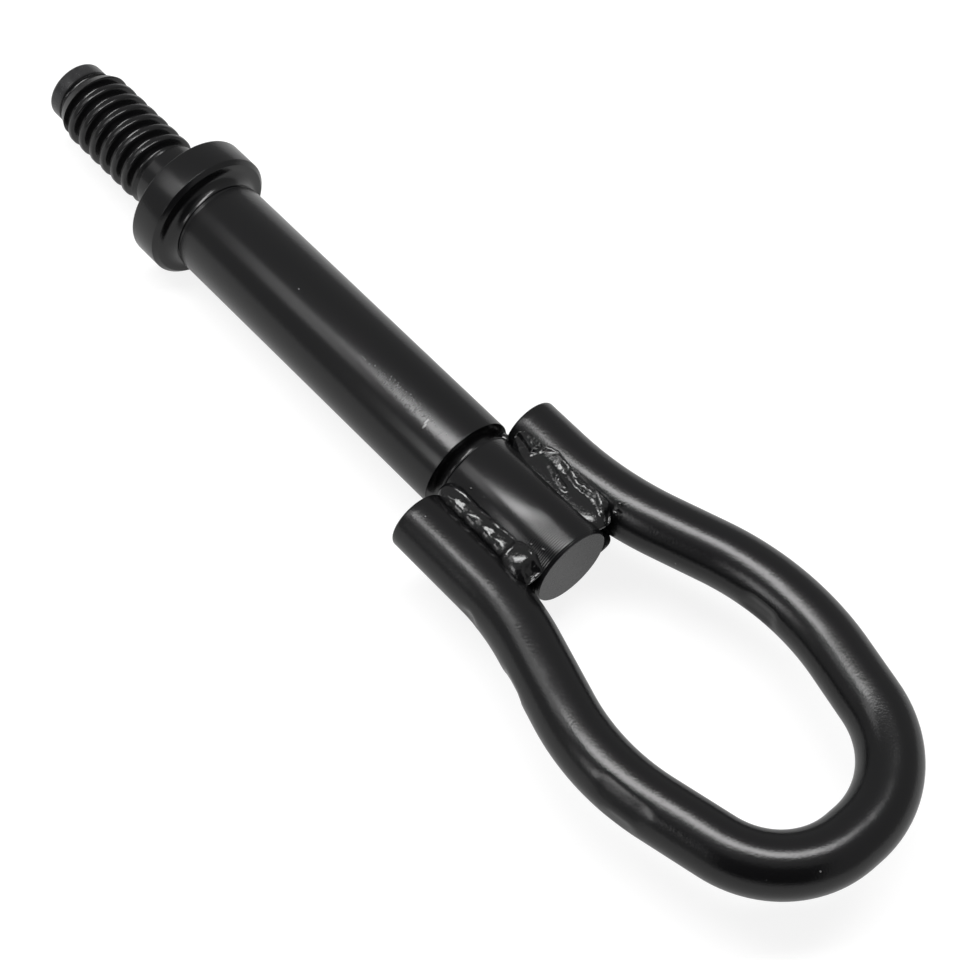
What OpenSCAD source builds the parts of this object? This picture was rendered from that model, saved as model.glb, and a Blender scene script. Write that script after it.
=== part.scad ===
/* [Collar] */
// Diameter of the collar that stops against the bumper beam
collar_d = 27.3; // [26:0.1:29]
// Width of the collar along the shank
collar_w = 7.2; // [5.5:0.1:9]
// Rounding of the collar's two outer edges
collar_edge = 0.6; // [0.4:0.1:1.2]
// Hollow fillet between the back of the collar and the shaft
back_fillet = 2.2; // [1.2:0.1:2.6]
// Hollow fillet between the front of the collar and the neck
neck_fillet = 1.2; // [0.6:0.1:1.6]

/* [Shaft] */
// Diameter of the plain shaft
shaft_d = 19.9; // [19:0.1:21]
// Length from the collar's front face to the end of the plain shaft
shaft_end = 82.4; // [70:0.1:95]
// Rounding of the shaft's rear edge
shaft_edge = 0.6; // [0.3:0.1:0.9]
// Depth of the shallow relief turned between the back fillet and the shaft
relief_depth = 0.2; // [0.1:0.05:0.3]
// Width of that relief
relief_w = 1; // [0.6:0.1:1.6]

/* [Stub that the eye is welded to] */
// Diameter of the stub
stub_d = 17; // [16:0.1:18]
// Length of the stub
stub_len = 26.1; // [24:0.1:29]
// Chamfer on the stub's end, across the radius
stub_chamfer = 0.5; // [0.3:0.1:0.8]
// Length of that chamfer along the stub
stub_chamfer_len = 1.1; // [0.6:0.1:1.6]
// Width of the groove between the shaft and the stub
groove_w = 3.2; // [2.4:0.1:4]
// Diameter at the bottom of that groove
groove_d = 14.2; // [12.5:0.1:15]

/* [Thread] */
// Outer diameter of the left hand rope thread
thread_d = 15.7; // [15.2:0.1:16.4]
// Pitch of the thread
thread_pitch = 3.45; // [3.2:0.05:4]
// Depth of the thread, from its crest to its root
thread_depth = 1.4; // [1:0.05:1.6]
// Length of the thread, from the nose to the neck
thread_len = 26.2; // [22:0.1:30]
// Length over which the thread runs out into the neck
thread_runout = 2.2; // [1.6:0.1:3]
// Slope of the cone that leads into the thread
lead_angle = 26; // [22:1:34]
// Diameter of the plain neck between the thread and the collar
neck_d = 14.4; // [14:0.1:15]
// Length of the neck
neck_len = 7; // [5:0.1:9]
// Diameter of the plain nose in front of the thread
nose_d = 12.7; // [12.2:0.1:13]
// Length of the nose
nose_len = 3.7; // [2.5:0.1:6]
// Rounding of the nose's front edge
nose_edge = 0.9; // [0.5:0.1:1.5]

/* [Eye bar] */
// Diameter of the bar that the eye is bent from
bar_d = 12; // [11:0.1:13]
// Root gap between the stub and each leg of the bar
weld_gap = 0.2; // [0.1:0.05:0.4]
// Rounding of the bar's two cut ends
bar_edge = 0.7; // [0.3:0.1:1.2]
// Length of the eye, from the start of the stub to its furthest point
eye_reach = 101.9; // [97.4:0.1:106.4]
// Depth of the dents that the bending tools left in the bar
dent_depth = 0.35; // [0.2:0.05:0.5]

/* [Right side of the eye, +Y] */
// Place where the right leg is cut off, from the start of the stub
right_start = -1.7; // [-2.6:0.1:0.4]
// Radius of the bend that opens the right leg outwards
right_flare_r = 69.2; // [62:0.1:76]
// Angle of that bend
right_flare = 19.5; // [18.5:0.1:20.5]
// Straight run after that bend
right_rise = 10.2; // [8:0.1:12]
// Radius of the long bend at the eye's right shoulder
right_shoulder_r = 53.3; // [48:0.1:58]
// Angle at which the right side closes in after the shoulder
right_close = 13.5; // [12:0.1:15]
// Straight run into the end of the eye
right_close_len = 9.7; // [7:0.1:13]

/* [Left side of the eye, -Y] */
// Place where the left leg is cut off, from the start of the stub
left_start = 0.4; // [-1.6:0.1:2.4]
// Radius of the bend that opens the left leg outwards
left_flare_r = 53.8; // [49:0.1:58]
// Angle of that bend
left_flare = 16.8; // [16:0.1:18]
// Straight run after that bend
left_rise = 13.6; // [11:0.1:16]
// Radius of the long bend at the eye's left shoulder
left_shoulder_r = 44.9; // [41:0.1:49]
// Angle at which the left side closes in after the shoulder
left_close = 13.7; // [12:0.1:15]
// Straight run into the end of the eye
left_close_len = 12.1; // [9:0.1:15]

/* [Weld beads] */
// Angle on the stub, from its top, at which a bead ends
bead_stub_angle = 49; // [44:1:54]
// Angle on the leg, from its top, at which a bead ends
bead_leg_angle = 37; // [32:1:44]
// Height by which a bead bulges between its two edges
bead_crown = 0.7; // [0.4:0.05:1]
// Height of the ripples along a bead
bead_ripple = 0.22; // [0.1:0.02:0.3]
// Spacing of the ripples
bead_ripple_pitch = 2.3; // [1.8:0.1:3]
// Height above the bar's middle down to which a bead has run in
bead_root = 2; // [1.5:0.1:2.5]
// Distance of a bead's end from the end of the stub
bead_inset = 0.8; // [0.5:0.1:2]
// Distance of a bead's start from the cut end of the leg
bead_start = 0.6; // [0.3:0.1:1.5]

/* [Hidden] */
coat = "#2b2b2d";
$fn = 96;
arc_steps = 6;
collar_r = collar_d / 2;
shaft_r = shaft_d / 2;
stub_r = stub_d / 2;
groove_r = groove_d / 2;
neck_r = neck_d / 2;
nose_r = nose_d / 2;
bar_r = bar_d / 2;
stub_start = shaft_end + groove_w;
stub_end = stub_start + stub_len;
right_cut = stub_start + right_start;
left_cut = stub_start + left_start;
eye_end = stub_start + eye_reach;
thread_end = -neck_len;
thread_start = thread_end - thread_len;
nose_tip = thread_start - nose_len;
relief_r = shaft_r - relief_depth;
fillet_end = collar_w + back_fillet;
// Depth below the thread's root of the hidden core that joins the nose, the thread and the neck
core_depth = 0.6;
core_r = thread_d / 2 - thread_depth - core_depth;
// Length by which the thread's solid reaches into the nose and the neck
thread_overlap = 0.4;
// Height of the small shoulders where the nose and the neck meet the thread
thread_shoulder = 0.12;
// Facets of the thread round its girth and along one pitch
thread_sides = 40;
thread_rows_per_pitch = 12;
leg_y = stub_r + weld_gap + bar_r;
// Hair by which the bar's straight runs are thinner than its bends, so their faces don't lie on each other
run_hair = 0.02;
run_r = bar_r - run_hair;
// Length by which a straight run reaches into the bends on either side of it
run_reach = 0.1;
// Straight run across the middle of the eye's far end
end_run = 2;
// Dents of each side as [bend or run that it lies on, share along it, angle round the bar from its top
// towards the outside of the eye, radius of the scoop along the bar]
right_dents = [[2, 0.43, -72, 25]];
left_dents = [[0, 0.24, 96, 9], [1, 0.36, 103, 22], [2, 0.71, 43, 150], [2, 0.85, 90, 14]];
// Height above the bar's surface from which a dent's tool comes down
dent_clear = 1;
// Depth below the stub's and the leg's surface at which a bead's crown starts
toe_depth = 0.3;
// Facets of a weld bead along its run and across its crown
bead_rows = 34;
bead_cols = 8;
// Share of its full section that a bead has at its two ends
bead_end_share = 0.35;
// Power that sets how suddenly a bead tapers to its ends
bead_taper = 8;
// Height and rate of the second wave that makes the ripples uneven, as shares of the first
bead_second_wave = 0.6;
bead_second_rate = 0.64;

// Points on an arc round [cx, cr], with its angles measured from the shank's axis
function arc(cx, cr, r, from, to) =
    [for (i = [0 : arc_steps])
        let (a = from + (to - from) * i / arc_steps) [cx + r * cos(a), cr + r * sin(a)]];

// Outline of the turned shank as [distance along it, radius], from the nose's tip to the stub's end
shank_outline = concat(
    [[nose_tip, 0]],
    arc(nose_tip + nose_edge, nose_r - nose_edge, nose_edge, 180, 90),
    [[thread_start, nose_r], [thread_start, core_r], [thread_end, core_r], [thread_end, neck_r]],
    arc(-neck_fillet, neck_r + neck_fillet, neck_fillet, 270, 360),
    arc(collar_edge, collar_r - collar_edge, collar_edge, 180, 90),
    arc(collar_w - collar_edge, collar_r - collar_edge, collar_edge, 90, 0),
    arc(fillet_end, relief_r + back_fillet, back_fillet, 180, 270),
    [[fillet_end + relief_w, relief_r], [fillet_end + relief_w + relief_depth, shaft_r]],
    arc(shaft_end - shaft_edge, shaft_r - shaft_edge, shaft_edge, 90, 0),
    [[shaft_end, groove_r], [stub_start, groove_r]],
    arc(stub_start + shaft_edge, stub_r - shaft_edge, shaft_edge, 180, 90),
    [[stub_end - stub_chamfer_len, stub_r], [stub_end, stub_r - stub_chamfer], [stub_end, 0]]
);

// Share of the thread's full depth that is left at x, near its end at the neck
function runout(x) = min(1, max(0, (thread_end - x) / thread_runout));

// Radius of the rope thread at x and at an angle that turns from +Y towards +Z
function thread_r(x, angle) =
    let (
        turns = (x - thread_start) / thread_pitch,
        wave = thread_depth * cos(360 * turns + angle) / 2,
        middle = (thread_d - thread_depth) / 2,
        full = (middle + wave) * runout(x) + (neck_r - thread_shoulder) * (1 - runout(x)),
        lead = nose_r - thread_shoulder + (x - thread_start) * tan(lead_angle)
    )
    min(full, lead);

// Side faces of a tube along +X whose rings of points turn from +Y towards +Z
function tube_faces(rings, sides) =
    [for (i = [0 : rings - 2], k = [0 : sides - 1])
        let (here = i * sides, next = here + sides, side = (k + 1) % sides)
        [here + k, next + k, next + side, here + side]];

// Faces of a closed tube: its sides and its two flat ends
function closed_tube_faces(rings, sides) =
    concat(
        tube_faces(rings, sides),
        [[for (k = [0 : sides - 1]) k]],
        [[for (k = [sides - 1 : -1 : 0]) (rings - 1) * sides + k]]
    );

function ring(x, radii) =
    [for (k = [0 : thread_sides - 1])
        let (a = 360 * k / thread_sides) [x, radii[k] * cos(a), radii[k] * sin(a)]];

function flat_ring(x, r) = ring(x, [for (k = [0 : thread_sides - 1]) r]);

function thread_ring(x) = ring(x, [for (k = [0 : thread_sides - 1]) thread_r(x, 360 * k / thread_sides)]);

// The rope thread as one solid that follows its helix
module rope_thread() {
    rows = ceil(thread_len / thread_pitch * thread_rows_per_pitch);
    rings = concat(
        [flat_ring(thread_start - thread_overlap, nose_r - thread_overlap)],
        [for (i = [0 : rows - 1]) thread_ring(thread_start + thread_len * (i + 0.5) / rows)],
        [flat_ring(thread_end + thread_overlap, neck_r - thread_overlap)]
    );
    polyhedron([for (r = rings) each r], closed_tube_faces(len(rings), thread_sides), convexity = 10);
}

// One turned piece: nose, rope thread, neck, collar, shaft, groove and stub
module shank() {
    color(coat) {
        rotate([0, 90, 0]) rotate_extrude() polygon([for (p = shank_outline) [p[1], p[0]]]);
        rope_thread();
    }
}

// Radius of the bar's end arc on one side, from that side's other bends
function end_radius(flare_r, flare, rise, shoulder_r, close, close_len) =
    (leg_y - end_run / 2 + flare_r * (1 - cos(flare)) + rise * sin(flare)
        + shoulder_r * (cos(close) - cos(flare)) - close_len * sin(close)) / cos(close);

// Distance from the start of one side's first bend to the middle of the eye's far end
function side_reach(flare_r, flare, rise, shoulder_r, close, close_len) =
    let (end_r = end_radius(flare_r, flare, rise, shoulder_r, close, close_len))
    flare_r * sin(flare) + rise * cos(flare) + shoulder_r * (sin(flare) + sin(close))
        + close_len * cos(close) + end_r * (1 - sin(close));

// Bends of one side as [length or radius, angle], from its first bend to the far end
function side_bends(flare_r, flare, rise, shoulder_r, close, close_len) =
    [
        [flare_r, flare],
        [rise, 0],
        [shoulder_r, -(flare + close)],
        [close_len, 0],
        [end_radius(flare_r, flare, rise, shoulder_r, close, close_len), close - 90]
    ];

right_bend_x = eye_end - bar_r
    - side_reach(right_flare_r, right_flare, right_rise, right_shoulder_r, right_close, right_close_len);
left_bend_x = eye_end - bar_r
    - side_reach(left_flare_r, left_flare, left_rise, left_shoulder_r, left_close, left_close_len);
right_bends =
    side_bends(right_flare_r, right_flare, right_rise, right_shoulder_r, right_close, right_close_len);
left_bends =
    side_bends(left_flare_r, left_flare, left_rise, left_shoulder_r, left_close, left_close_len);

// A length of bar that ends in a bend: starts at the origin, runs along +X and turns by angle
module bend(radius, angle) {
    mirror([0, angle < 0 ? 1 : 0, 0])
        translate([0, radius, 0])
            rotate([0, 0, -90])
                rotate_extrude(angle = abs(angle)) translate([radius, 0]) circle(d = bar_d);
}

// Moves its children a share of the way along one step of the bar, a straight run or a bend
module along(step, share) {
    size = step[0];
    turned = step[1] * share;
    if (step[1] == 0) {
        translate([size * share, 0, 0]) children();
    } else {
        translate([size * sin(abs(turned)), sign(turned) * size * (1 - cos(turned)), 0])
            rotate([0, 0, turned]) children();
    }
}

// The bar laid along a list of straight runs and bends, each starting where the last one ends
module bar_path(steps, i = 0) {
    if (i < len(steps)) {
        if (steps[i][1] == 0) {
            translate([-run_reach, 0, 0])
                rotate([0, 90, 0]) cylinder(r = run_r, h = steps[i][0] + 2 * run_reach);
        } else {
            bend(steps[i][0], steps[i][1]);
        }
        along(steps[i], 1) bar_path(steps, i + 1);
    }
}

// Tool for one dent: a lens that dips below the bar's surface at an angle from its top
module scoop(angle, radius) {
    half = sqrt(2 * radius * (dent_depth + dent_clear));
    rotate([-angle, 0, 0]) intersection() {
        translate([0, 0, bar_r - dent_depth + radius])
            rotate([90, 0, 0]) cylinder(r = radius, h = bar_d, center = true);
        translate([-half, -bar_r, 0]) cube([2 * half, bar_d, bar_r + dent_clear]);
    }
}

// Tools for all the dents along a list of steps
module scoops(steps, dents, i = 0) {
    if (i < len(steps)) {
        for (d = dents) {
            if (d[0] == i) along(steps[i], d[1]) scoop(d[2], d[3]);
        }
        along(steps[i], 1) scoops(steps, dents, i + 1);
    }
}

// A straight leg with a rounded cut end, from cut to the place where its first bend starts
module leg(cut, bend_x) {
    outline = concat(
        [[cut, 0]],
        arc(cut + bar_edge, run_r - bar_edge, bar_edge, 180, 90),
        [[bend_x + run_reach, run_r], [bend_x + run_reach, 0]]
    );
    rotate([0, 90, 0]) rotate_extrude() polygon([for (p = outline) [p[1], p[0]]]);
}

// One side of the eye from its cut end to the far end, on the +Y side
module eye_side(cut, bend_x, bends) {
    translate([0, leg_y, 0]) {
        leg(cut, bend_x);
        translate([bend_x, 0, 0]) bar_path(bends);
    }
}

module right_side() {
    eye_side(right_cut, right_bend_x, concat(right_bends, [[end_run, 0]]));
}

module left_side() {
    mirror([0, 1, 0]) eye_side(left_cut, left_bend_x, left_bends);
}

module right_scoops() {
    translate([right_bend_x, leg_y, 0]) scoops(right_bends, right_dents);
}

module left_scoops() {
    mirror([0, 1, 0]) translate([left_bend_x, leg_y, 0]) scoops(left_bends, left_dents);
}

// One bar bent by hand into a long eye, so its two sides aren't quite alike
module eye_loop() {
    color(coat) difference() {
        union() {
            right_side();
            left_side();
        }
        right_scoops();
        left_scoops();
    }
}

// Offset of a leg's centre from the shank's axis at x
function leg_centre(x, bend_x, flare_r) =
    leg_y + (x < bend_x ? 0 : flare_r - sqrt(flare_r * flare_r - (x - bend_x) * (x - bend_x)));

// Cross section of a bead at x, as [y, z] points: its crown from the leg to the stub, then three points
// inside the stub and the leg, which are cut away
function bead_section(x, cy, size, phase) =
    let (
        stub_toe = (stub_r - toe_depth) * [sin(bead_stub_angle), cos(bead_stub_angle)],
        leg_toe = [cy, 0] + (bar_r - toe_depth) * [-sin(bead_leg_angle), cos(bead_leg_angle)],
        root = [(stub_r + cy - bar_r) / 2, bead_root],
        run = stub_toe - leg_toe,
        up = [run[1], -run[0]] / norm(run),
        turn = 360 * x / bead_ripple_pitch,
        ripple = bead_ripple * (cos(turn + phase) + bead_second_wave * cos(bead_second_rate * turn)),
        crown = [for (j = [0 : bead_cols])
            let (t = j / bead_cols)
            leg_toe + run * t + up * (4 * t * (1 - t) * (bead_crown + ripple))],
        inner = [[0.7 * stub_r, bead_root], [cy - bar_r / 2, bead_root], [cy, 0.4 * bar_r]]
    )
    [for (p = concat(crown, inner)) root + (p - root) * size];

// A fillet weld bead in the top groove on the +Y side
module bead(cut, bend_x, bends, phase) {
    from = cut + bead_start;
    to = stub_end - bead_inset;
    sides = bead_cols + 4;
    points = [for (i = [0 : bead_rows])
        let (
            t = i / bead_rows,
            x = from + (to - from) * t,
            size = bead_end_share + (1 - bead_end_share) * sqrt(1 - pow(abs(2 * t - 1), bead_taper))
        )
        for (q = bead_section(x, leg_centre(x, bend_x, bends[0][0]), size, phase)) [x, q[0], q[1]]];
    difference() {
        polyhedron(points, closed_tube_faces(bead_rows + 1, sides), convexity = 6);
        rotate([0, 90, 0]) cylinder(r = stub_r, h = stub_end + bar_d);
        eye_side(cut, bend_x, bends);
    }
}

module right_bead(phase) {
    color(coat) bead(right_cut, right_bend_x, right_bends, phase);
}

module left_bead(phase) {
    color(coat) mirror([0, 1, 0]) bead(left_cut, left_bend_x, left_bends, phase);
}

module weld_right_top() {
    right_bead(0);
}

module weld_left_top() {
    left_bead(120);
}

module weld_right_bottom() {
    mirror([0, 0, 1]) right_bead(75);
}

module weld_left_bottom() {
    mirror([0, 0, 1]) left_bead(210);
}

shank();
eye_loop();
weld_right_top();
weld_left_top();
weld_right_bottom();
weld_left_bottom();
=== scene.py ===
import math

import bmesh
import bpy
from mathutils import Euler, Matrix, Vector


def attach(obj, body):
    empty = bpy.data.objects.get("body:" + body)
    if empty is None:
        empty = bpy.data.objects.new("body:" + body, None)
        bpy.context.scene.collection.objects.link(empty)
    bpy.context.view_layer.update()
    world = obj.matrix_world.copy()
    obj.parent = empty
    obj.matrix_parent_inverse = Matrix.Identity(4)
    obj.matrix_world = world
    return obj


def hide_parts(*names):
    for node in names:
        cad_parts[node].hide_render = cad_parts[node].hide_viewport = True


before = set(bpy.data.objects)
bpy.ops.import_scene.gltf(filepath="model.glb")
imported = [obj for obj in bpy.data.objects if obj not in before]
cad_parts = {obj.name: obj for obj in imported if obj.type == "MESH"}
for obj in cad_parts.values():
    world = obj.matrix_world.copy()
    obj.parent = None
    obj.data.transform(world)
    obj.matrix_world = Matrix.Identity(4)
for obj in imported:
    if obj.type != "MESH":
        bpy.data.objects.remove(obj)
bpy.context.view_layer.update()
mm = 0.001
print("frame loaded")


def toLinear(hexText):
    # a colour as it is seen on screen, turned to the linear values that Blender mixes
    out = []
    for i in (1, 3, 5):
        c = int(hexText[i:i + 2], 16) / 255
        out.append(c / 12.92 if c <= 0.04045 else ((c + 0.055) / 1.055) ** 2.4)
    return (*out, 1.0)


def scaleFor(size):
    # the Scale of a pattern whose grains are this many millimetres
    return 1 / (size * mm)


def addNode(tree, kind, settings=None, values=None, links=None):
    node = tree.nodes.new(kind)
    for name, value in (settings or {}).items():
        setattr(node, name, value)
    for name, value in (values or {}).items():
        node.inputs[name].default_value = value
    for name, source in (links or {}).items():
        tree.links.new(source, node.inputs[name])
    return node


def newMaterial(name):
    material = bpy.data.materials.new(name)
    material.use_nodes = True
    material.node_tree.nodes.clear()
    return material, material.node_tree


def selectOnly(obj):
    bpy.ops.object.select_all(action="DESELECT")
    obj.select_set(True)
    bpy.context.view_layer.objects.active = obj


def applyAll(obj):
    # each modifier is made part of the mesh, in its order
    selectOnly(obj)
    for modifier in list(obj.modifiers):
        bpy.ops.object.modifier_apply(modifier=modifier.name)


def pickVerts(obj, wanted):
    # selects, in edit mode, the points that wanted() accepts, and says how many there are
    mesh = bmesh.from_edit_mesh(obj.data)
    found = 0
    for vert in mesh.verts:
        vert.select = wanted(vert.co)
        found += vert.select
    mesh.select_flush_mode()
    bmesh.update_edit_mesh(obj.data)
    return found


coatLook = {
    # the dip coat that the turned and the bent steel share
    "colour": "#111112",
    "roughness": 0.21,
    "grain": 0.35,      # mm, the skin of the coat
    "swell": 6.0,       # mm, slow waves under the grain
    "dust": 5.0,        # mm between specks of dust caught in the coat
    "speck": 0.035,     # reach of a speck, as a share of that distance
    "empty": 0.45,      # share of the places that hold no speck
}

turnedLook = {
    "lines": 0.42,                # mm, lathe lines, drawn coarser than the real 0.15 so that they show
    "lineHeight": (0.18, 1.0),    # against the grain: along the shaft, and near the stub's end
    "drawnOff": (101.0, 106.0),   # x in mm where the lines grow, as the tool was drawn off
    "swellHeight": 0.8,           # against the grain
    "speckHeight": 0.9,
    "bump": (0.24, 0.06),         # strength, and depth in mm
    # the nose has lost its shine in the socket, and the sawn end of the stub is matt too
    "mattNose": (-33.2, -34.0),   # x in mm where it starts and where it is full
    "mattEnd": (111.5, 111.65),
    "blotch": 1.6,                # mm
    "mattShare": 0.36,
}

wearLook = {
    # a rubbed streak along the top of the shaft, where the coat has gone grey and speckled
    "colour": "#5e5e60",
    "roughness": 0.5,
    "centre": (69.5, -3.2, 9.4),     # mm
    "reach": (17.5, 2.0, 2.4),       # mm
    "fade": 0.6,                     # share of the reach over which the streak thins out
    "speckle": 0.5,                  # mm between the specks
    "added": 0.255,                  # how much the streak adds to the speckle pattern
    "shows": (0.81, 0.94),           # levels of the sum where grey begins and where it is full
    # one small cut through the coat, as two spots that overlap: centre and reach in mm
    "nicks": [((75.6, -3.65, 9.28), (0.22, 0.85, 0.8)), ((75.95, -4.35, 8.92), (0.3, 0.75, 0.8))],
    "nickFade": 0.5,
    "nickColour": "#868686",
}

drawnLook = {
    "swellHeight": 2.2,       # against the grain
    "speckHeight": 1.2,
    "speckColour": "#7a7a7a",
    "bump": (0.36, 0.08),     # strength, and depth in mm
}

weldLook = {
    "colour": "#101011",
    "roughness": 0.17,
    "lumps": 1.1,             # mm
    "ripples": 0.4,           # mm
    "rippleHeight": 0.22,     # against the lumps
    "bump": (0.6, 0.2),       # strength, and depth in mm
    "wetFilm": (0.5, 0.06),   # weight and roughness
}


def coatSkin(tree, place, swellHeight):
    # height of the coat's skin: fine grain with slower waves under it
    grain = addNode(tree, "ShaderNodeTexNoise", values={"Scale": scaleFor(coatLook["grain"]), "Detail": 3.0},
                    links={"Vector": place})
    waves = addNode(tree, "ShaderNodeTexNoise", values={"Scale": scaleFor(coatLook["swell"]), "Detail": 2.0},
                    links={"Vector": place})
    return addNode(tree, "ShaderNodeMath", {"operation": "MULTIPLY_ADD"}, {1: swellHeight},
                   {0: waves.outputs["Fac"], 2: grain.outputs["Fac"]}).outputs[0]


def dustSpecks(tree, place):
    # 1 on a few tiny specks, 0 elsewhere: the cells of a coarse pattern, many of them left empty
    cells = addNode(tree, "ShaderNodeTexVoronoi", values={"Scale": scaleFor(coatLook["dust"])},
                    links={"Vector": place})
    near = addNode(tree, "ShaderNodeMath", {"operation": "LESS_THAN"}, {1: coatLook["speck"]},
                   {0: cells.outputs["Distance"]})
    chance = addNode(tree, "ShaderNodeSeparateColor", links={"Color": cells.outputs["Color"]})
    kept = addNode(tree, "ShaderNodeMath", {"operation": "GREATER_THAN"}, {1: coatLook["empty"]},
                   {0: chance.outputs["Red"]})
    return addNode(tree, "ShaderNodeMath", {"operation": "MULTIPLY"},
                   links={0: near.outputs[0], 1: kept.outputs[0]}).outputs[0]


def spotMask(tree, place, centre, reach, fade):
    # 1 inside an egg-shaped spot and 0 outside it, with a soft edge
    moved = addNode(tree, "ShaderNodeVectorMath", {"operation": "SUBTRACT"},
                    {1: [a * mm for a in centre]}, {0: place})
    scaled = addNode(tree, "ShaderNodeVectorMath", {"operation": "MULTIPLY"},
                     {1: [scaleFor(a) for a in reach]}, {0: moved.outputs[0]})
    far = addNode(tree, "ShaderNodeVectorMath", {"operation": "LENGTH"}, links={0: scaled.outputs[0]})
    return addNode(tree, "ShaderNodeMapRange", {"interpolation_type": "SMOOTHSTEP"},
                   {"From Min": 1.0, "From Max": 1.0 - fade, "To Min": 0.0, "To Max": 1.0},
                   {"Value": far.outputs["Value"]}).outputs["Result"]


def shaftCoat():
    # black dip coat on turned steel: soft sheen, faint lathe lines round the axis, a rubbed grey streak
    material, tree = newMaterial("blackDipCoatOnTurnedSteel")
    place = addNode(tree, "ShaderNodeTexCoord").outputs["Object"]
    along = addNode(tree, "ShaderNodeSeparateXYZ", links={"Vector": place}).outputs["X"]
    turn = addNode(tree, "ShaderNodeMath", {"operation": "MULTIPLY"},
                   {1: 2 * math.pi * scaleFor(turnedLook["lines"])}, {0: along})
    lathe = addNode(tree, "ShaderNodeMath", {"operation": "SINE"}, links={0: turn.outputs[0]})
    coarser = addNode(tree, "ShaderNodeMapRange",
                      values={"From Min": turnedLook["drawnOff"][0] * mm,
                              "From Max": turnedLook["drawnOff"][1] * mm,
                              "To Min": turnedLook["lineHeight"][0], "To Max": turnedLook["lineHeight"][1]},
                      links={"Value": along})
    skin = addNode(tree, "ShaderNodeMath", {"operation": "MULTIPLY_ADD"},
                   links={0: lathe.outputs[0], 1: coarser.outputs["Result"],
                          2: coatSkin(tree, place, turnedLook["swellHeight"])})
    # the rubbed streak lifts a speckle pattern until its peaks show as bare grey
    streak = spotMask(tree, place, wearLook["centre"], wearLook["reach"], wearLook["fade"])
    speckle = addNode(tree, "ShaderNodeTexNoise",
                      values={"Scale": scaleFor(wearLook["speckle"]), "Detail": 4.0}, links={"Vector": place})
    lifted = addNode(tree, "ShaderNodeMath", {"operation": "MULTIPLY_ADD"}, {1: wearLook["added"]},
                     {0: streak, 2: speckle.outputs["Fac"]})
    rubbed = addNode(tree, "ShaderNodeMapRange",
                     values={"From Min": wearLook["shows"][0], "From Max": wearLook["shows"][1]},
                     links={"Value": lifted.outputs[0]})
    dusty = addNode(tree, "ShaderNodeMath", {"operation": "MAXIMUM"},
                    links={0: rubbed.outputs["Result"], 1: dustSpecks(tree, place)})
    # the nose and the stub's sawn end are matt, in blotches
    nose = addNode(tree, "ShaderNodeMapRange",
                   values={"From Min": turnedLook["mattNose"][0] * mm,
                           "From Max": turnedLook["mattNose"][1] * mm}, links={"Value": along})
    sawn = addNode(tree, "ShaderNodeMapRange",
                   values={"From Min": turnedLook["mattEnd"][0] * mm,
                           "From Max": turnedLook["mattEnd"][1] * mm}, links={"Value": along})
    matt = addNode(tree, "ShaderNodeMath", {"operation": "MAXIMUM"},
                   links={0: nose.outputs["Result"], 1: sawn.outputs["Result"]})
    blotch = addNode(tree, "ShaderNodeTexNoise",
                     values={"Scale": scaleFor(turnedLook["blotch"]), "Detail": 3.0}, links={"Vector": place})
    dull = addNode(tree, "ShaderNodeMath", {"operation": "MULTIPLY"},
                   links={0: matt.outputs[0], 1: blotch.outputs["Fac"]})
    faint = addNode(tree, "ShaderNodeMath", {"operation": "MULTIPLY"}, {1: turnedLook["mattShare"]},
                    {0: dull.outputs[0]})
    worn = addNode(tree, "ShaderNodeMath", {"operation": "MAXIMUM"},
                   links={0: dusty.outputs[0], 1: faint.outputs[0]})
    raised = addNode(tree, "ShaderNodeMath", {"operation": "MULTIPLY_ADD"}, {1: turnedLook["speckHeight"]},
                     {0: worn.outputs[0], 2: skin.outputs[0]})
    bump = addNode(tree, "ShaderNodeBump",
                   values={"Strength": turnedLook["bump"][0], "Distance": turnedLook["bump"][1] * mm},
                   links={"Height": raised.outputs[0]})
    coat = addNode(tree, "ShaderNodeMix", {"data_type": "RGBA"}, links={"Factor": worn.outputs[0]})
    coat.inputs[6].default_value = toLinear(coatLook["colour"])
    coat.inputs[7].default_value = toLinear(wearLook["colour"])
    rough = addNode(tree, "ShaderNodeMapRange",
                    values={"To Min": coatLook["roughness"], "To Max": wearLook["roughness"]},
                    links={"Value": worn.outputs[0]})
    # the small cut goes through to bare steel
    spots = [spotMask(tree, place, *nick, wearLook["nickFade"]) for nick in wearLook["nicks"]]
    cut = addNode(tree, "ShaderNodeMath", {"operation": "MAXIMUM"}, links={0: spots[0], 1: spots[1]})
    colour = addNode(tree, "ShaderNodeMix", {"data_type": "RGBA"}, links={"Factor": cut.outputs[0]})
    tree.links.new(coat.outputs[2], colour.inputs[6])
    colour.inputs[7].default_value = toLinear(wearLook["nickColour"])
    shader = addNode(tree, "ShaderNodeBsdfPrincipled",
                     links={"Base Color": colour.outputs[2], "Roughness": rough.outputs["Result"],
                            "Normal": bump.outputs["Normal"]})
    addNode(tree, "ShaderNodeOutputMaterial", links={"Surface": shader.outputs["BSDF"]})
    return material


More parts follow.
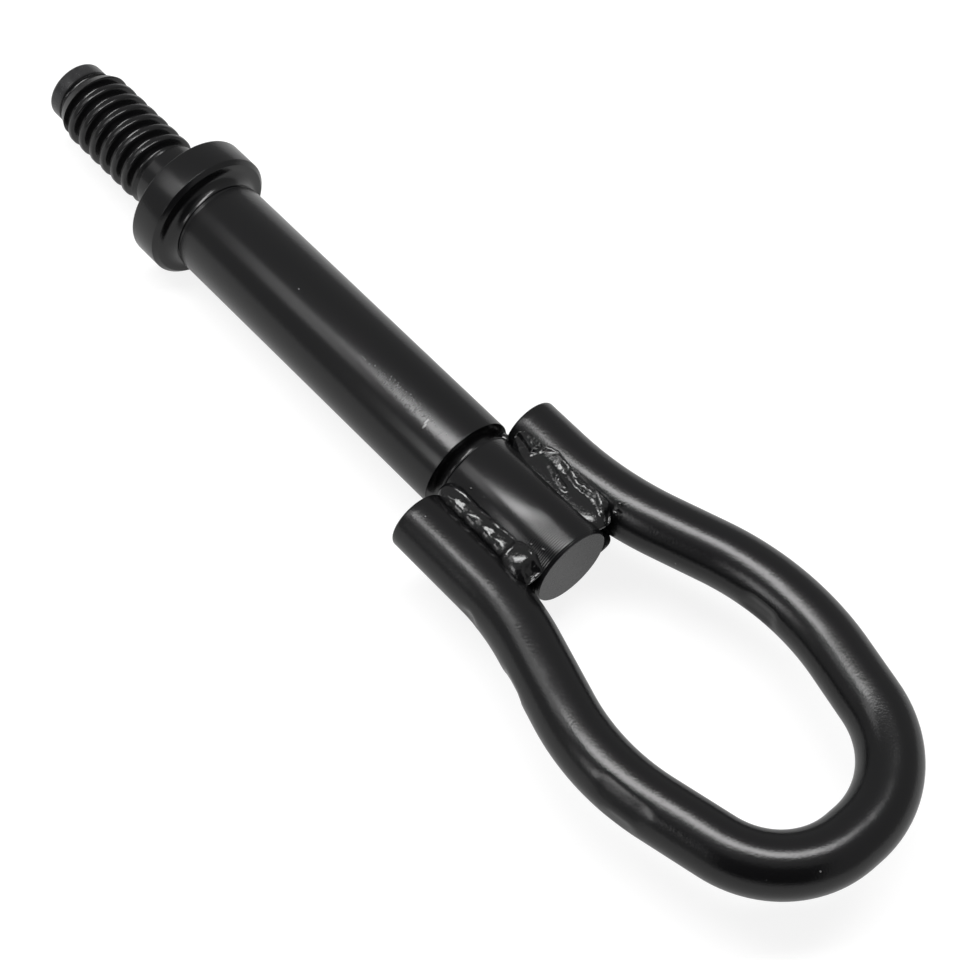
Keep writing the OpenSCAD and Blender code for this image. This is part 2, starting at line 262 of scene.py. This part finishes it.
def barCoat():
    # the same dip coat on drawn and bent bar: no lathe lines, slow waves from drawing, specks of dust
    material, tree = newMaterial("blackDipCoatOnBentBar")
    place = addNode(tree, "ShaderNodeTexCoord").outputs["Object"]
    specks = dustSpecks(tree, place)
    raised = addNode(tree, "ShaderNodeMath", {"operation": "MULTIPLY_ADD"}, {1: drawnLook["speckHeight"]},
                     {0: specks, 2: coatSkin(tree, place, drawnLook["swellHeight"])})
    bump = addNode(tree, "ShaderNodeBump",
                   values={"Strength": drawnLook["bump"][0], "Distance": drawnLook["bump"][1] * mm},
                   links={"Height": raised.outputs[0]})
    colour = addNode(tree, "ShaderNodeMix", {"data_type": "RGBA"}, links={"Factor": specks})
    colour.inputs[6].default_value = toLinear(coatLook["colour"])
    colour.inputs[7].default_value = toLinear(drawnLook["speckColour"])
    shader = addNode(tree, "ShaderNodeBsdfPrincipled", values={"Roughness": coatLook["roughness"]},
                     links={"Base Color": colour.outputs[2], "Normal": bump.outputs["Normal"]})
    addNode(tree, "ShaderNodeOutputMaterial", links={"Surface": shader.outputs["BSDF"]})
    return material


def weldCoat():
    # dip coat over weld metal: it pools between the ripples and stays wet-looking, so it is glossier
    material, tree = newMaterial("blackDipCoatOverWeld")
    place = addNode(tree, "ShaderNodeTexCoord").outputs["Object"]
    lumps = addNode(tree, "ShaderNodeTexNoise",
                    values={"Scale": scaleFor(weldLook["lumps"]), "Detail": 4.0, "Roughness": 0.6},
                    links={"Vector": place})
    ripples = addNode(tree, "ShaderNodeTexNoise",
                      values={"Scale": scaleFor(weldLook["ripples"]), "Detail": 2.0}, links={"Vector": place})
    skin = addNode(tree, "ShaderNodeMath", {"operation": "MULTIPLY_ADD"}, {1: weldLook["rippleHeight"]},
                   {0: ripples.outputs["Fac"], 2: lumps.outputs["Fac"]})
    bump = addNode(tree, "ShaderNodeBump",
                   values={"Strength": weldLook["bump"][0], "Distance": weldLook["bump"][1] * mm},
                   links={"Height": skin.outputs[0]})
    shader = addNode(tree, "ShaderNodeBsdfPrincipled",
                     values={"Base Color": toLinear(weldLook["colour"]), "Roughness": weldLook["roughness"],
                             "Coat Weight": weldLook["wetFilm"][0], "Coat Roughness": weldLook["wetFilm"][1]},
                     links={"Normal": bump.outputs["Normal"]})
    addNode(tree, "ShaderNodeOutputMaterial", links={"Surface": shader.outputs["BSDF"]})
    return material


turned = shaftCoat()
drawn = barCoat()
welded = weldCoat()
# the plain solids wear the same coats as the pieces modelled over them
for name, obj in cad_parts.items():
    obj.data.materials.clear()
    obj.data.materials.append({"shank": turned, "eye_loop": drawn}.get(name, welded))
print("materials made")


def startRing(name, sides, radius, place):
    # a filled circle square to the X axis, in mm, ready to be drawn out in edit mode
    bpy.ops.object.select_all(action="DESELECT")
    bpy.ops.mesh.primitive_circle_add(vertices=sides, radius=radius, fill_type="NGON",
                                      rotation=(0, math.pi / 2, 0), location=place)
    piece = bpy.context.object
    piece.name = name
    bpy.ops.object.transform_apply(location=True, rotation=True, scale=True)
    bpy.ops.object.mode_set(mode="EDIT")
    bpy.ops.mesh.select_all(action="SELECT")
    return piece


def finishPiece(piece, node, material, crisp):
    # from mm to metres, points joined, faces turned outwards, smooth up to the angle of its crisp edges
    piece.scale = (mm, mm, mm)
    selectOnly(piece)
    bpy.ops.object.transform_apply(location=True, rotation=True, scale=True)
    bpy.ops.object.mode_set(mode="EDIT")
    bpy.ops.mesh.select_all(action="SELECT")
    bpy.ops.mesh.remove_doubles(threshold=0.001 * mm)
    bpy.ops.mesh.normals_make_consistent(inside=False)
    bpy.ops.object.mode_set(mode="OBJECT")
    bpy.ops.object.shade_smooth_by_angle(angle=math.radians(crisp))
    piece.data.materials.append(material)
    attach(piece, "root")
    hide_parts(node)


def turnedRod(name, outline, sides):
    # drawn out ring by ring along the axis, as a lathe would leave it
    rod = startRing(name, sides, outline[0][1], (outline[0][0], 0, 0))
    for (x0, r0), (x1, r1) in zip(outline, outline[1:]):
        bpy.ops.mesh.extrude_region_move(TRANSFORM_OT_translate={"value": (x1 - x0, 0, 0)})
        bpy.ops.transform.resize(value=(1, r1 / r0, r1 / r0), center_override=(x1, 0, 0))
    bpy.ops.mesh.select_all(action="SELECT")
    bpy.ops.mesh.normals_make_consistent(inside=False)
    bpy.ops.object.mode_set(mode="OBJECT")
    return rod


def rounded(x, r, radius, start, end, steps=5):
    # points of the outline round an arc
    turns = [math.radians(start + (end - start) * i / steps) for i in range(steps + 1)]
    return [(x + radius * math.cos(a), r + radius * math.sin(a)) for a in turns]


# outline of the turned piece as x and radius in mm, from the nose's tip to the stub's sawn end
shankLook = {
    "sides": 128,
    "crisp": 38,    # degrees
    "nose": rounded(-36.0, 5.45, 0.9, 180, 90) + [(-33.5, 6.35), (-33.3, 6.1)],
    "core": [(-33.1, 5.7), (-7.2, 5.7)],    # under the thread
    "neck": [(-7.05, 7.0)] + rounded(-6.7, 6.95, 0.25, 150, 90) + rounded(-1.2, 8.4, 1.2, 270, 360),
    "collar": rounded(0.5, 13.15, 0.5, 180, 90) + rounded(6.35, 13.53, 0.12, 90, 45, 3),
    "backBevel": rounded(7.05, 12.75, 0.15, 45, 0, 3) + [(7.25, 11.9)],
    "relief": rounded(9.6, 11.7, 2.35, 185, 245, 7),
    "ridge": [(9.0, 9.42), (9.2, 9.42), (9.3, 9.2), (10.2, 9.15)],
    "shaft": rounded(10.5, 9.8, 0.15, 180, 90, 3) + rounded(82.95, 9.83, 0.12, 90, 0, 4),
    "groove": rounded(84.6, 8.1, 1.53, 180, 270, 8) + [(84.9, 6.7), (85.2, 7.6)],
    # metal thrown up by the tool round the start of the stub
    "lip": [(85.22, 8.3)] + rounded(85.37, 8.44, 0.13, 180, 60, 4) + [(85.62, 8.42)],
    # a fine line runs round the stub just before its end
    "stub": [(85.9, 8.5), (110.4, 8.5), (110.6, 8.4), (110.75, 8.4), (111.6, 8.02), (111.7, 7.9),
             (111.7, 7.0)],
}
shankOrder = ("nose", "core", "neck", "collar", "backBevel", "relief", "ridge", "shaft", "groove", "lip",
              "stub")

threadLook = {
    "pitch": 3.45,       # mm, left-hand
    "start": -33.2,      # a crest stands at this x on the +Y side
    "behind": 10,        # turns from that crest back to where the coil is begun
    "turns": 12,         # wound from there towards the nose
    "sides": 96,
    "spare": 0.5,        # mm that the coil keeps past each end of the blank
    # one turn of the profile, from crest to crest: share of the pitch and radius in mm
    "profile": [(0.0, 7.85), (0.11, 7.85), (0.16, 7.78), (0.2, 7.62), (0.235, 7.36), (0.27, 6.95),
                (0.305, 6.5), (0.35, 6.2), (0.41, 6.06), (0.5, 6.02), (0.59, 6.06), (0.65, 6.2),
                (0.695, 6.5), (0.73, 6.95), (0.765, 7.36), (0.8, 7.62), (0.84, 7.78), (0.89, 7.85),
                (1.0, 7.85)],
    # the tapers that the crests run into at the nose and at the neck, as x and radius
    "blank": [(-33.6, 5.9), (-33.2, 6.25), (-29.7, 7.9), (-8.9, 7.9), (-7.0, 6.9), (-6.8, 6.2)],
}


def ropeThread():
    # one turn of the profile as a chain of edges, wound up by the Screw modifier and cut to the blank
    pitch, outline = threadLook["pitch"], threadLook["blank"]
    first = threadLook["start"] + threadLook["behind"] * pitch
    bpy.ops.object.select_all(action="DESELECT")
    bpy.ops.mesh.primitive_plane_add(size=1)
    coil = bpy.context.object
    coil.name = "ropeThread"
    bpy.ops.object.mode_set(mode="EDIT")
    bpy.ops.mesh.select_all(action="SELECT")
    bpy.ops.mesh.merge(type="CENTER")
    points = [(first + share * pitch, r) for share, r in threadLook["profile"]]
    bpy.ops.transform.translate(value=(points[0][0], points[0][1], 0))
    for (x0, r0), (x1, r1) in zip(points, points[1:]):
        bpy.ops.mesh.extrude_region_move(TRANSFORM_OT_translate={"value": (x1 - x0, r1 - r0, 0)})
    bpy.ops.object.mode_set(mode="OBJECT")
    wind = coil.modifiers.new("wind", "SCREW")
    wind.axis = "X"
    wind.angle = 2 * math.pi
    wind.screw_offset = -pitch
    wind.iterations = threadLook["turns"]
    wind.steps = wind.render_steps = threadLook["sides"]
    wind.use_smooth_shade = False
    applyAll(coil)
    bpy.ops.object.mode_set(mode="EDIT")
    bpy.ops.mesh.select_all(action="SELECT")
    bpy.ops.mesh.remove_doubles(threshold=0.001)
    for x, way in ((outline[0][0] - threadLook["spare"], 1), (outline[-1][0] + threadLook["spare"], -1)):
        bpy.ops.mesh.select_all(action="SELECT")
        bpy.ops.mesh.bisect(plane_co=(x, 0, 0), plane_no=(way, 0, 0), use_fill=True, clear_inner=True)
    bpy.ops.mesh.select_all(action="SELECT")
    bpy.ops.mesh.normals_make_consistent(inside=False)
    bpy.ops.object.mode_set(mode="OBJECT")
    blank = turnedRod("threadBlank", outline, threadLook["sides"])
    cut = coil.modifiers.new("blank", "BOOLEAN")
    cut.operation = "INTERSECT"
    cut.object = blank
    applyAll(coil)
    bpy.data.objects.remove(blank)
    return coil


shankOutline = [point for part in shankOrder for point in shankLook[part]]
shank = turnedRod("turnedShank", shankOutline, shankLook["sides"])
coil = ropeThread()
print("thread has", len(coil.data.polygons), "faces")
selectOnly(shank)
coil.select_set(True)
bpy.ops.object.join()
finishPiece(shank, "shank", turned, shankLook["crisp"])
print("shank made")


barLook = {
    "radius": 6.0,
    "sides": 64,
    "crisp": 40,          # degrees
    "ring": 1.0,          # mm between two rings of points
    "edge": 0.5,          # rounding of the sawn ends
    "edgeSteps": 4,
    "apart": 14.7,        # from the axis to the middle of each leg
    "start": 83.9,        # x of the right leg's end
    # straight runs as (length, 0) and bends as (radius, angle), from the right leg round to the left one
    "path": [(9.142, 0), (69.2, 19.5), (10.2, 0), (53.3, -33.0), (9.7, 0), (20.974, -76.5), (2.0, 0),
             (18.219, -76.3), (12.1, 0), (44.9, -30.5), (13.6, 0), (53.8, 16.8), (17.66, 0)],
    # marks of the bending tools: step of the path, share along it from and to, angle from the top
    # towards the outside, depth and reach in mm
    "dents": [
        (3, 0.40, 0.54, -84, 0.6, 2.2), (11, 0.74, 0.78, 96, 0.45, 1.8), (10, 0.55, 0.75, 103, 0.45, 2.4),
        (9, 0.04, 0.34, 50, 0.3, 2.3), (9, 0.10, 0.20, 92, 0.35, 2.2), (1, 0.2, 0.5, -50, 0.12, 2.6),
    ],
    "dentHalf": 0.75,     # mm, half the width of the line that a tool presses in
    "dentSteps": 12,
}


def barPlace(step, share):
    # middle of the bar and its heading, part of the way along one step of the path
    x, y, heading = barLook["start"], barLook["apart"], 0.0
    for i, (size, angle) in enumerate(barLook["path"][:step + 1]):
        part = share if i == step else 1
        if angle:
            way = math.copysign(1, angle)
            cx, cy = x - way * size * math.sin(heading), y + way * size * math.cos(heading)
            heading += math.radians(angle) * part
            x, y = cx + way * size * math.sin(heading), cy - way * size * math.cos(heading)
        else:
            x, y = x + size * part * math.cos(heading), y + size * part * math.sin(heading)
    return x, y, heading


def drawBar(length, heading):
    # draws the selected ring on by a length
    bpy.ops.mesh.extrude_region_move(
        TRANSFORM_OT_translate={"value": (length * math.cos(heading), length * math.sin(heading), 0)})


def widenBar(factor, x, y):
    # makes the selected ring, which is square to the X axis, wider or narrower
    bpy.ops.transform.resize(value=(1, factor, factor), center_override=(x, y, 0))


def pressDent(bar, step, start, end, angle, depth, reach):
    # the points near a line along the bar's skin are pressed in, and those round them give way softly
    a, last = math.radians(angle), barLook["dentSteps"]
    line = [barPlace(step, start + (end - start) * i / last) for i in range(last + 1)]
    skin = [Vector((x - math.sin(h) * math.sin(a) * barLook["radius"],
                    y + math.cos(h) * math.sin(a) * barLook["radius"],
                    math.cos(a) * barLook["radius"])) for x, y, h in line]
    heading = line[last // 2][2]
    inward = Vector((math.sin(heading) * math.sin(a), -math.cos(heading) * math.sin(a), -math.cos(a)))
    if pickVerts(bar, lambda point: min((point - s).length for s in skin) < barLook["dentHalf"]):
        bpy.ops.transform.translate(value=inward * depth, use_proportional_edit=True,
                                    proportional_edit_falloff="SMOOTH", proportional_size=reach)


def bentBar():
    # drawn from the right leg's sawn end, bend by bend, to the left leg's
    radius, edge, path = barLook["radius"], barLook["edge"], barLook["path"]
    x, y, heading = barPlace(0, 0)
    bar = startRing("bentBar", barLook["sides"], radius - edge, (x, y, 0))
    turns = [math.radians(90 / barLook["edgeSteps"] * i) for i in range(barLook["edgeSteps"] + 1)]
    corner = [(edge * (1 - math.cos(a)), radius - edge + edge * math.sin(a)) for a in turns]
    for (x0, r0), (x1, r1) in zip(corner, corner[1:]):
        drawBar(x1 - x0, heading)
        widenBar(r1 / r0, x + x1, y)
    for i, (size, angle) in enumerate(path):
        x, y, heading = barPlace(i, 0)
        if angle:
            way = math.copysign(1, angle)
            centre = (x - way * size * math.sin(heading), y + way * size * math.cos(heading), 0)
            steps = max(2, round(size * abs(math.radians(angle)) / barLook["ring"]))
            bpy.ops.mesh.spin(steps=steps, angle=-math.radians(angle), axis=(0, 0, 1), center=centre)
            continue
        length = size - (edge if i in (0, len(path) - 1) else 0)
        steps = max(1, round(length / barLook["ring"]))
        for _ in range(steps):
            drawBar(length / steps, heading)
    endX, endY, heading = barPlace(len(path) - 1, 1)
    for (x1, r1), (x0, r0) in zip(corner[::-1], corner[-2::-1]):
        drawBar(x1 - x0, heading)
        widenBar(r0 / r1, endX, endY)
    for dent in barLook["dents"]:
        pressDent(bar, *dent)
    bpy.ops.object.mode_set(mode="OBJECT")
    return bar


finishPiece(bentBar(), "eye_loop", drawn, barLook["crisp"])
print("bar made")


# Each bead is drawn in a frame of its own, in mm: x along the part, q across the groove from the leg
# to the stub, w out of the groove. A ring is x, q at the leg, q at the stub, height of the crown.
# A stroke presses a line of weld metal in or out: x, q, x, q, height, reach.
beadFrame = {
    "out": 8.75,                  # mm, from the part's axis to the bead's own
    "up": 5.19,
    "lean": math.radians(9.6),    # the stub stands higher than the leg, so the crown leans out to the leg
    "sunk": 1.0,                  # mm, depth of the rings' middles under the skin of the groove
    "sides": 16,
    "drawnIn": 1.7,               # a ring's width over its radius: under 2, as smoothing draws it in
    "strokeHalf": 0.22,           # mm, half the width of a stroke
    "skirt": -0.6,                # strokes leave the metal below this height alone
    "crisp": 180,                 # degrees: no crisp edges
}

longBead = {
    "smoothing": (2, 1),     # levels before and after the strokes: the later level makes the ripples broad
    "rings": [
        (85.7, -0.6, 0.9, -0.7), (86.2, -1.2, 1.6, 0.1), (87.2, -1.7, 2.0, 0.55), (89.0, -1.9, 2.0, 0.85),
        (91.5, -1.7, 1.9, 0.9), (94.0, -1.7, 1.8, 0.95), (96.5, -1.6, 2.0, 0.85), (99.0, -1.6, 2.2, 0.9),
        (101.5, -1.7, 2.3, 0.8), (103.2, -1.7, 2.4, 0.7), (103.9, -1.9, 2.5, 0.85),
        (104.4, -2.4, 2.8, 1.45), (105.4, -2.8, 3.0, 1.9), (107.0, -3.0, 3.1, 1.95),
        (108.4, -3.0, 3.0, 1.6), (109.6, -2.9, 2.8, 0.9), (110.5, -2.5, 2.4, 0.0), (111.1, -1.6, 1.6, -0.9),
    ],
    "strokes": [
        # broken ripples along the ridge on the leg's side
        (88.6, -0.8, 89.6, -0.9, 0.22, 0.9), (90.4, -0.3, 90.9, -1.3, 0.26, 0.7),
        (92.3, -0.1, 92.7, -1.2, -0.22, 0.7), (93.6, -0.3, 94.2, -1.3, 0.26, 0.7),
        (95.5, 0.0, 96.0, -1.2, -0.26, 0.8), (97.8, -0.2, 98.6, -1.2, 0.28, 0.8),
        (99.8, 0.1, 100.0, -1.2, -0.2, 0.7), (101.0, -0.4, 101.6, -1.3, 0.24, 0.8),
        # the edge against the stub has run in waves
        (88.2, 1.5, 90.4, 1.9, 0.3, 0.5), (91.0, 2.0, 93.2, 1.6, 0.28, 0.5),
        (94.4, 1.7, 96.6, 2.1, 0.3, 0.5), (97.4, 2.2, 99.4, 1.9, 0.26, 0.5),
        (100.2, 2.2, 103.0, 2.5, 0.3, 0.5),
        (90.7, 1.2, 92.0, 1.1, -0.2, 0.6), (98.0, 1.2, 100.4, 1.2, -0.2, 0.6),
        # the last puddle: a raised lip at its start and a crater where the arc was broken off
        (104.3, -1.8, 104.1, 1.6, 0.35, 0.7), (105.4, 2.5, 108.0, 2.7, 0.3, 0.6),
        (109.3, 0.4, 109.6, -0.3, -1.0, 1.3), (110.3, 0.9, 110.5, -0.9, -0.5, 0.8),
        (109.9, -0.2, 110.2, -0.1, 0.3, 0.35),
    ],
}

brokenBead = {
    "smoothing": (3, 0),     # no level after the strokes, so that the folds stay sharp
    "rings": [
        (85.9, -1.6, -0.4, -0.6), (86.5, -2.4, 0.4, 0.15), (88.0, -2.8, 1.2, 0.45), (90.0, -2.8, 2.0, 0.5),
        (91.4, -2.8, 2.8, 0.55), (92.0, -2.9, 3.5, 0.75), (92.8, -3.0, 3.9, 0.95), (94.2, -3.0, 4.2, 1.0),
        (96.5, -2.9, 4.2, 1.0), (99.0, -2.7, 4.2, 0.95), (102.0, -2.6, 4.2, 0.95), (105.0, -2.7, 4.2, 0.9),
        (107.5, -2.8, 3.9, 0.85), (109.0, -2.4, 3.3, 0.6), (110.2, -1.7, 2.6, 0.1),
        (111.0, -0.8, 1.6, -0.7),
    ],
    "strokes": [
        # the crown leans on the leg and runs down smoothly to the stub
        (93.2, -2.6, 108.0, -2.4, 1.35, 2.4),
        # a fan of thin ridges at the start
        (86.4, -1.1, 91.2, 0.2, 0.75, 0.6), (87.0, -2.0, 90.9, -1.1, 0.7, 0.55),
        (87.8, -2.8, 90.6, -2.4, 0.6, 0.5),
        # the lip of the first puddle
        (91.5, 0.9, 92.1, -1.6, 0.3, 0.7), (92.1, -1.6, 94.6, -2.9, 0.3, 0.6),
        # shiny folds that cross the side of the leg
        (94.8, -2.8, 100.8, -1.2, 0.42, 0.75), (101.4, -0.8, 105.6, -1.5, 0.4, 0.7),
        (105.9, -1.9, 109.2, -0.4, 0.42, 0.7),
        (98.2, -2.4, 98.9, -0.9, -0.2, 0.5), (103.3, -2.1, 103.9, -0.5, -0.2, 0.5),
        # a long fold on the side of the stub
        (95.6, 0.2, 98.4, 1.1, 0.5, 0.7), (98.4, 1.1, 101.4, 1.7, 0.46, 0.7),
        # the hole that the arc left at the end
        (109.6, -1.6, 110.4, -0.8, -0.9, 1.0),
    ],
}


def smoothBead(bead, levels):
    if levels:
        bead.modifiers.new("smooth", "SUBSURF").levels = levels
        applyAll(bead)


def pressStroke(bead, x0, q0, x1, q1, height, reach):
    start, run = Vector((x0, q0)), Vector((x1 - x0, q1 - q0))

    def onLine(point):
        if point.z < beadFrame["skirt"]:
            return False
        flat = Vector(point[:2])
        share = max(0, min(1, (flat - start).dot(run) / run.length_squared))
        return (start + run * share - flat).length < beadFrame["strokeHalf"]
    if pickVerts(bead, onLine):
        bpy.ops.transform.translate(value=(0, 0, height), use_proportional_edit=True,
                                    proportional_edit_falloff="SMOOTH", proportional_size=reach)


def weldBead(name, node, shape, side, up):
    # side is 1 on the right leg and -1 on the left, up is 1 on top and -1 underneath
    sunk = beadFrame["sunk"]
    rings = [(x, (leg + stub) / 2, (stub - leg) / beadFrame["drawnIn"], crown + sunk)
             for x, leg, stub, crown in shape["rings"]]
    x, q, wide, high = rings[0]
    bead = startRing(name, beadFrame["sides"], 1, (x, q, -sunk))
    bpy.ops.transform.resize(value=(1, wide, high), center_override=(x, q, -sunk))
    for (x0, q0, wide0, high0), (x1, q1, wide1, high1) in zip(rings, rings[1:]):
        bpy.ops.mesh.extrude_region_move(TRANSFORM_OT_translate={"value": (x1 - x0, q1 - q0, 0)})
        bpy.ops.transform.resize(value=(1, wide1 / wide0, high1 / high0), center_override=(x1, q1, -sunk))
    bpy.ops.mesh.select_all(action="SELECT")
    bpy.ops.mesh.normals_make_consistent(inside=False)
    bpy.ops.object.mode_set(mode="OBJECT")
    smoothBead(bead, shape["smoothing"][0])
    bpy.ops.object.mode_set(mode="EDIT")
    for stroke in shape["strokes"]:
        pressStroke(bead, *stroke)
    bpy.ops.object.mode_set(mode="OBJECT")
    smoothBead(bead, shape["smoothing"][1])
    # from the bead's own frame to its place in the groove, mirrored to its side and face
    lean = beadFrame["lean"]
    bead.matrix_world = Matrix((
        (1, 0, 0, 0),
        (0, -side * math.cos(lean), side * math.sin(lean), side * beadFrame["out"]),
        (0, up * math.sin(lean), up * math.cos(lean), up * beadFrame["up"]),
        (0, 0, 0, 1)))
    selectOnly(bead)
    bpy.ops.object.transform_apply(location=True, rotation=True, scale=True)
    finishPiece(bead, node, welded, beadFrame["crisp"])
    return bead


spatterLook = {
    # little balls of weld metal thrown on to the stub and the leg: x, y, z and radius in mm
    "left": [(106.1, -5.35, 6.45, 0.34), (108.4, -4.7, 6.95, 0.42), (90.3, -5.6, 6.3, 0.3),
             (97.2, -5.75, 6.15, 0.26), (93.4, -5.2, 6.6, 0.22)],
    "right": [(109.6, 13.1, 5.7, 0.36), (110.1, 11.5, 5.0, 0.5), (88.6, 10.6, 4.5, 0.3),
              (84.9, 7.3, 4.4, 0.75), (84.4, 8.1, 3.5, 0.6)],
    "flattened": (1.25, 1, 0.8),    # a thrown ball is flatter than it is wide
    # it runs out into a tail, in shares of its radius: where, how much of it, and how far
    "tail": (1.1, 0.4, 0.35),
}


def addSpatter(bead, balls):
    tailAt, tailReach, tailPull = spatterLook["tail"]
    for i, (x, y, z, size) in enumerate(balls):
        middle, radius = Vector((x, y, z)) * mm, size * mm
        way = 1 if i % 2 else -1
        bpy.ops.object.select_all(action="DESELECT")
        bpy.ops.mesh.primitive_ico_sphere_add(subdivisions=3, radius=radius, location=middle)
        ball = bpy.context.object
        bpy.ops.object.transform_apply(location=True, rotation=True, scale=True)
        bpy.ops.object.mode_set(mode="EDIT")
        bpy.ops.transform.resize(value=spatterLook["flattened"], center_override=middle)
        tail = middle + Vector((way * tailAt * radius, 0, 0))
        if pickVerts(ball, lambda point: (point - tail).length < tailReach * radius):
            bpy.ops.transform.translate(value=(way * tailPull * radius, 0, 0),
                                        use_proportional_edit=True, proportional_size=radius)
        bpy.ops.object.mode_set(mode="OBJECT")
        bpy.ops.object.shade_smooth()
        ball.data.materials.append(welded)
        bead.select_set(True)
        bpy.context.view_layer.objects.active = bead
        bpy.ops.object.join()


addSpatter(weldBead("beadLeftTop", "weld_left_top", longBead, -1, 1), spatterLook["left"])
addSpatter(weldBead("beadRightTop", "weld_right_top", brokenBead, 1, 1), spatterLook["right"])
weldBead("beadLeftBottom", "weld_left_bottom", brokenBead, -1, -1)
weldBead("beadRightBottom", "weld_right_bottom", longBead, 1, -1)
print("weld beads made")


stageLook = {
    "tilt": math.radians(2.5028),    # the part rests on its collar and on the far end of the eye
    "drop": 13.926 * mm,
    "size": 12,         # metres
    "colour": "#8c8c8c",
    "glow": 0.84,       # how white the floor is to the camera
    "mirrored": 0.42,   # and how white it is in the coat's reflections
    "air": 0.28,        # light from all round
    "middle": Vector((0.085, 0, 0)),    # of the part, which the lamps and the card face
}

# place and long side are given from the middle of the part, in metres
softboxes = {
    "stripAbove": {"place": (-0.07, -0.02, 0.95), "along": (0.55, 0.83, 0), "size": (0.25, 0.95),
                   "watts": 8.5},
    "softBehind": {"place": (-0.52, -0.40, 0.70), "along": (0.2, 1, 0), "size": (0.30, 0.36),
                   "watts": 0.62},
    "windowLeft": {"place": (-0.10, -0.86, 0.47), "along": (0, 0, 1), "size": (0.26, 0.30),
                   "watts": 0.95},
}

# a black card beyond the eye keeps the far side of the bar dark, as in a studio
cardLook = {"place": (0.56, -0.40, 0.34), "size": (0.90, 0.66), "colour": "#0c0c0c"}

cameraLook = {
    # found by fitting the part's outline to the photo
    "place": (0.258646, -0.178489, 0.371393),
    "turned": (33.5624, -2.9190, 48.2864),    # degrees
    "lens": 91.22,
    "sensor": 36,
}


def whiteFloor():
    # white paper lit evenly, so that only the part's soft shadow shows on it
    material, tree = newMaterial("whitePaperFloor")
    path = addNode(tree, "ShaderNodeLightPath").outputs
    mirrored = addNode(tree, "ShaderNodeMath", {"operation": "MAXIMUM"},
                       links={0: path["Is Glossy Ray"], 1: path["Is Transmission Ray"]})
    soft = addNode(tree, "ShaderNodeMath", {"operation": "MULTIPLY"}, {1: stageLook["mirrored"]},
                   {0: mirrored.outputs[0]})
    level = addNode(tree, "ShaderNodeMath", {"operation": "MULTIPLY_ADD"}, {1: stageLook["glow"]},
                    {0: path["Is Camera Ray"], 2: soft.outputs[0]})
    glow = addNode(tree, "ShaderNodeEmission", links={"Strength": level.outputs[0]})
    paper = addNode(tree, "ShaderNodeBsdfDiffuse", values={"Color": toLinear(stageLook["colour"])})
    both = addNode(tree, "ShaderNodeAddShader", links={0: glow.outputs[0], 1: paper.outputs[0]})
    addNode(tree, "ShaderNodeOutputMaterial", links={"Surface": both.outputs[0]})
    return material


def plainCard():
    # matt black studio card
    material, tree = newMaterial("mattBlackCard")
    paper = addNode(tree, "ShaderNodeBsdfDiffuse", values={"Color": toLinear(cardLook["colour"])})
    addNode(tree, "ShaderNodeOutputMaterial", links={"Surface": paper.outputs[0]})
    return material


down = Vector((math.sin(stageLook["tilt"]), 0, -math.cos(stageLook["tilt"])))
bpy.ops.object.select_all(action="DESELECT")
bpy.ops.mesh.primitive_plane_add(size=stageLook["size"], location=down * stageLook["drop"],
                                 rotation=(0, stageLook["tilt"], 0))
floor = bpy.context.object
floor.name = "paperFloor"
floor.data.materials.append(whiteFloor())

for name, box in softboxes.items():
    lamp = bpy.data.lights.new(name, "AREA")
    lamp.shape = "RECTANGLE"
    lamp.size, lamp.size_y = box["size"]
    lamp.energy = box["watts"]
    holder = bpy.data.objects.new(name, lamp)
    bpy.context.scene.collection.objects.link(holder)
    facing = Vector(box["place"]).normalized()
    across = Vector(box["along"]).cross(facing).normalized()
    holder.matrix_world = Matrix.Translation(stageLook["middle"] + Vector(box["place"])) @ Matrix(
        (across, facing.cross(across), facing)).transposed().to_4x4()

bpy.ops.object.select_all(action="DESELECT")
bpy.ops.mesh.primitive_plane_add(size=1, location=cardLook["place"])
card = bpy.context.object
card.name = "blackCard"
card.scale = (*cardLook["size"], 1)
card.rotation_euler = (stageLook["middle"] - card.location).to_track_quat("Z", "Y").to_euler()
card.visible_camera = False
card.visible_shadow = False
card.data.materials.append(plainCard())

world = bpy.data.worlds.new("studioAir")
bpy.context.scene.world = world
world.use_nodes = True
world.node_tree.nodes.clear()
air = addNode(world.node_tree, "ShaderNodeBackground",
              values={"Color": (1, 1, 1, 1), "Strength": stageLook["air"]})
addNode(world.node_tree, "ShaderNodeOutputWorld", links={"Surface": air.outputs[0]})

lens = bpy.data.cameras.new("photoCamera")
lens.sensor_width = cameraLook["sensor"]
lens.lens = cameraLook["lens"]
lens.clip_start = 0.01
camera = bpy.data.objects.new("photoCamera", lens)
camera.location = cameraLook["place"]
camera.rotation_euler = Euler([math.radians(a) for a in cameraLook["turned"]], "XYZ")
bpy.context.scene.collection.objects.link(camera)
bpy.context.scene.camera = camera
bpy.context.scene.view_settings.view_transform = "Standard"
print("stage set")
